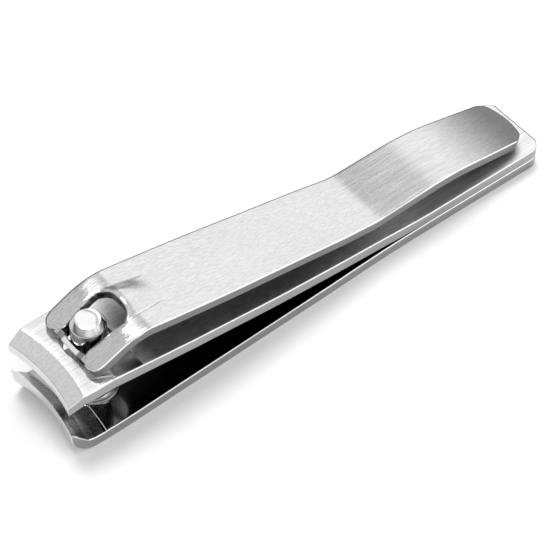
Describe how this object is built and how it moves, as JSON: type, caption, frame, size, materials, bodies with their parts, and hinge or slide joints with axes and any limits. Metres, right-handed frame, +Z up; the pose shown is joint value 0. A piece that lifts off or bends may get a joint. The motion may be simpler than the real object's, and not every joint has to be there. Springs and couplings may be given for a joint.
{
  "type": "nail clipper",
  "caption": "Pressed steel nail clipper: sprung upper jaw over a lower jaw, upright swivel pin and a folded-down lever.",
  "frame": {"origin": "centre of the overall box on the surface the lower jaw lies on", "axes": "+X from the cutting edges to the tail, +Y across the clipper, +Z up; at rest the lever is folded down along the upper jaw"},
  "size_m": [0.08, 0.0138, 0.0155],
  "materials": {
    "jaw_steel": "polished, finely brushed along its length",
    "lever_steel": "brushed along its length",
    "pin_steel": "polished, turned end",
    "rivet_steel": "ground flush"
  },
  "bodies": {
    "frame": {"lower_jaw": "jaw_steel", "upper_tail": "jaw_steel", "tail_rivet": "rivet_steel"},
    "upper_jaw": {"upper_arm": "jaw_steel"},
    "pin_body": {"pin": "pin_steel"},
    "lever_body": {"lever": "lever_steel"}
  },
  "joints": [
    {"name": "jaw_squeeze", "type": "hinge", "parent": "frame", "child": "upper_jaw", "pos_m": [0.0175, 0, 0.0025], "axis": [0, -1, 0], "range_deg": [0, 3.7], "stiffness_Nm_per_rad": 25},
    {"name": "lever_swivel", "type": "hinge", "parent": "frame", "child": "pin_body", "pos_m": [-0.03218, 0, 0], "axis": [0, 0, 1], "continuous": true},
    {"name": "lever_lift", "type": "hinge", "parent": "pin_body", "child": "lever_body", "pos_m": [-0.03468, 0, 0.01154], "axis": [0, -1, 0], "range_deg": [0, 155]}
  ]
}
